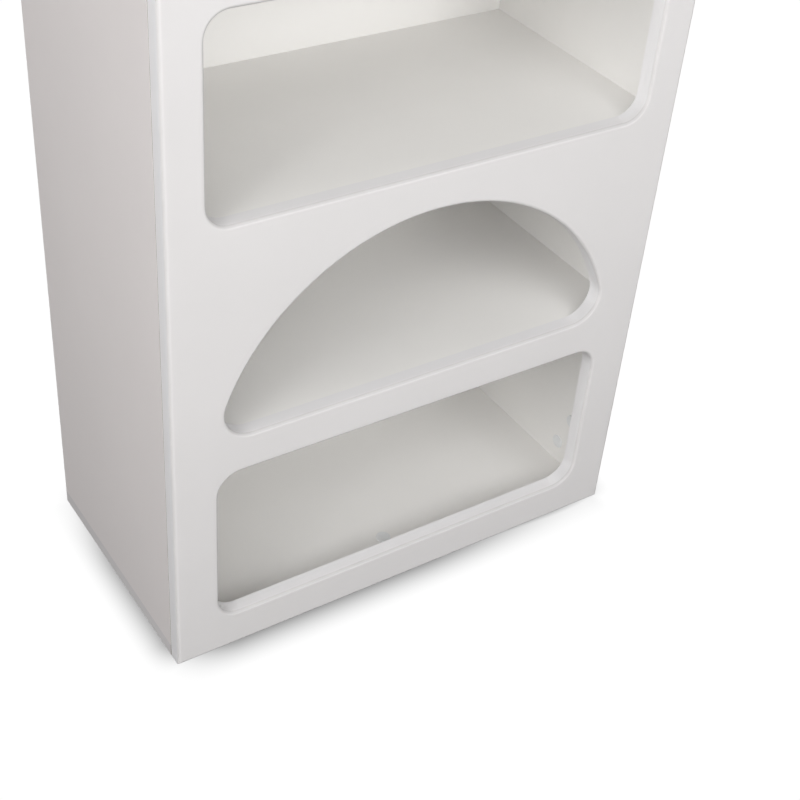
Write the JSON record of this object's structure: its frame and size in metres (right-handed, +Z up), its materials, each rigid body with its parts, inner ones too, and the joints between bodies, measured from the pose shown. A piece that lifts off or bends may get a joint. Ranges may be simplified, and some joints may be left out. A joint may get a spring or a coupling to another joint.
{
  "type": "children's bookcase",
  "caption": "Tall white children's bookcase: a one-piece front panel with rounded-rectangle and arched cut-outs over fixed shelves, joined with cam fittings and dowels.",
  "frame": {"origin": "centre of the footprint on the floor", "axes": "+Z up, the open front faces -Y, +X to the right when seen from the front"},
  "size_m": [0.6, 0.313, 1.06],
  "materials": {
    "panel_white": "satin white foil on fibreboard, rounded edges",
    "shelf_white": "white melamine on particle board",
    "backboard_white": "white printed thin hardboard",
    "cam_zinc": "die-cast zinc, dull",
    "cap_plastic": "pale grey moulded plastic",
    "bolt_steel": "zinc-plated steel",
    "bracket_steel": "white powder coat",
    "dowel_wood": "plain fluted beech"
  },
  "bodies": {
    "root": {"front_panel": "panel_white", "left_side_panel": "panel_white", "right_side_panel": "panel_white", "bottom_board": "panel_white", "top_board": "panel_white", "lower_shelf": "shelf_white", "middle_shelf": "shelf_white", "upper_shelf": "shelf_white", "back_panel": "backboard_white", "left_side_cams": "cam_zinc", "right_side_cams": "cam_zinc", "bottom_board_cam": "cam_zinc", "top_board_cam": "cam_zinc", "lower_shelf_cams": "cam_zinc", "middle_shelf_cams": "cam_zinc", "upper_shelf_cams": "cam_zinc", "left_side_cam_caps": "cap_plastic", "right_side_cam_caps": "cap_plastic", "bottom_board_cam_cap": "cap_plastic", "top_board_cam_cap": "cap_plastic", "lower_shelf_cam_caps": "cap_plastic", "middle_shelf_cam_caps": "cap_plastic", "upper_shelf_cam_caps": "cap_plastic", "front_panel_bolts": "bolt_steel", "bottom_board_bolts": "bolt_steel", "top_board_bolts": "bolt_steel", "left_side_bolts": "bolt_steel", "right_side_bolts": "bolt_steel", "front_panel_dowels": "dowel_wood", "bottom_board_dowels": "dowel_wood", "top_board_dowels": "dowel_wood", "left_side_dowels": "dowel_wood", "right_side_dowels": "dowel_wood", "wall_bracket": "bracket_steel", "wall_bracket_screws": "bolt_steel"}
  },
  "joints": []
}
